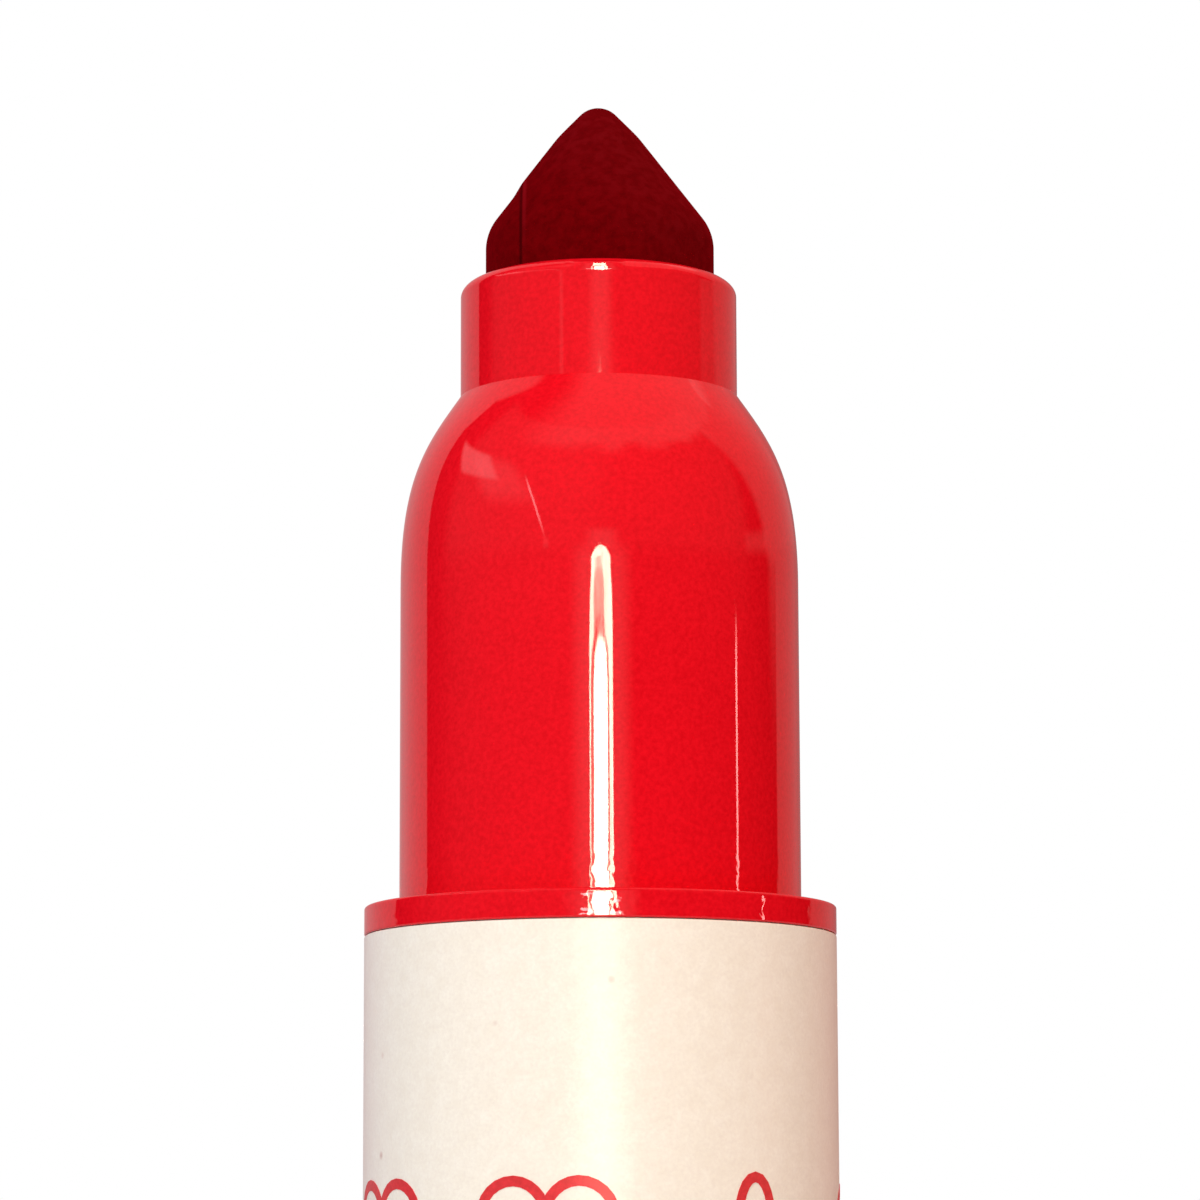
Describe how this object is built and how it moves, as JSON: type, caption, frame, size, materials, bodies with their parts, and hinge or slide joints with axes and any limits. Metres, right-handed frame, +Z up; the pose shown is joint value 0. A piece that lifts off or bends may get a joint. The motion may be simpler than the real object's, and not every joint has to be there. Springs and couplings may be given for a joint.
{
  "type": "dual tip stamp marker",
  "caption": "Round felt tip marker with a cone nib at one end, a rubber stamp under a cap at the other, and its nib cap taken off and stood beside it.",
  "frame": {"origin": "centre of the stamp cap's flat closed end, where the marker stands, on the marker's axis", "axes": "+Z up along the marker's axis towards the nib, -Y the side that the picture shows, +X to the right in it"},
  "size_m": [0.05, 0.032, 0.1285],
  "materials": {
    "red_plastic": "smooth glossy moulded red plastic",
    "white_plastic": "plain white moulded plastic",
    "printed_label": "satin off-white film label with a thin red line print",
    "label_print": "thin red line print on the label",
    "inked_felt": "dense felt soaked dark with red ink",
    "inked_fibre": "fine fibre rod soaked with red ink",
    "clear_film": "thin glossy wrapping film",
    "soft_seal": "soft natural plastic seal",
    "stamp_rubber": "porous stamp rubber stained with red ink"
  },
  "bodies": {
    "stamp_cap": {"stamp_cap": "red_plastic", "stamp_cap_liner": "soft_seal"},
    "marker": {"barrel": "white_plastic", "barrel_label": "printed_label", "nose": "red_plastic", "nib_collar": "red_plastic", "marker_nib": "inked_felt", "nib_ink_reservoir": "inked_fibre", "nib_reservoir_film": "clear_film", "stamp_ink_reservoir": "inked_fibre", "stamp_reservoir_film": "clear_film", "stamp_nose": "red_plastic", "stamp_wick": "inked_fibre", "stamp_pad": "inked_fibre", "stamp_die": "stamp_rubber", "stamp_bezel": "red_plastic"},
    "nib_cap": {"nib_cap": "red_plastic", "nib_cap_liner": "soft_seal"}
  },
  "joints": [
    {"name": "stamp_cap_pull", "type": "slide", "parent": "stamp_cap", "child": "marker", "axis": [0, 0, 1], "range_m": [0, 0.03]},
    {"name": "nib_cap_lift", "type": "slide", "parent": "stamp_cap", "child": "nib_cap", "axis": [0, 0, 1], "range_m": [0, 0.15]}
  ]
}
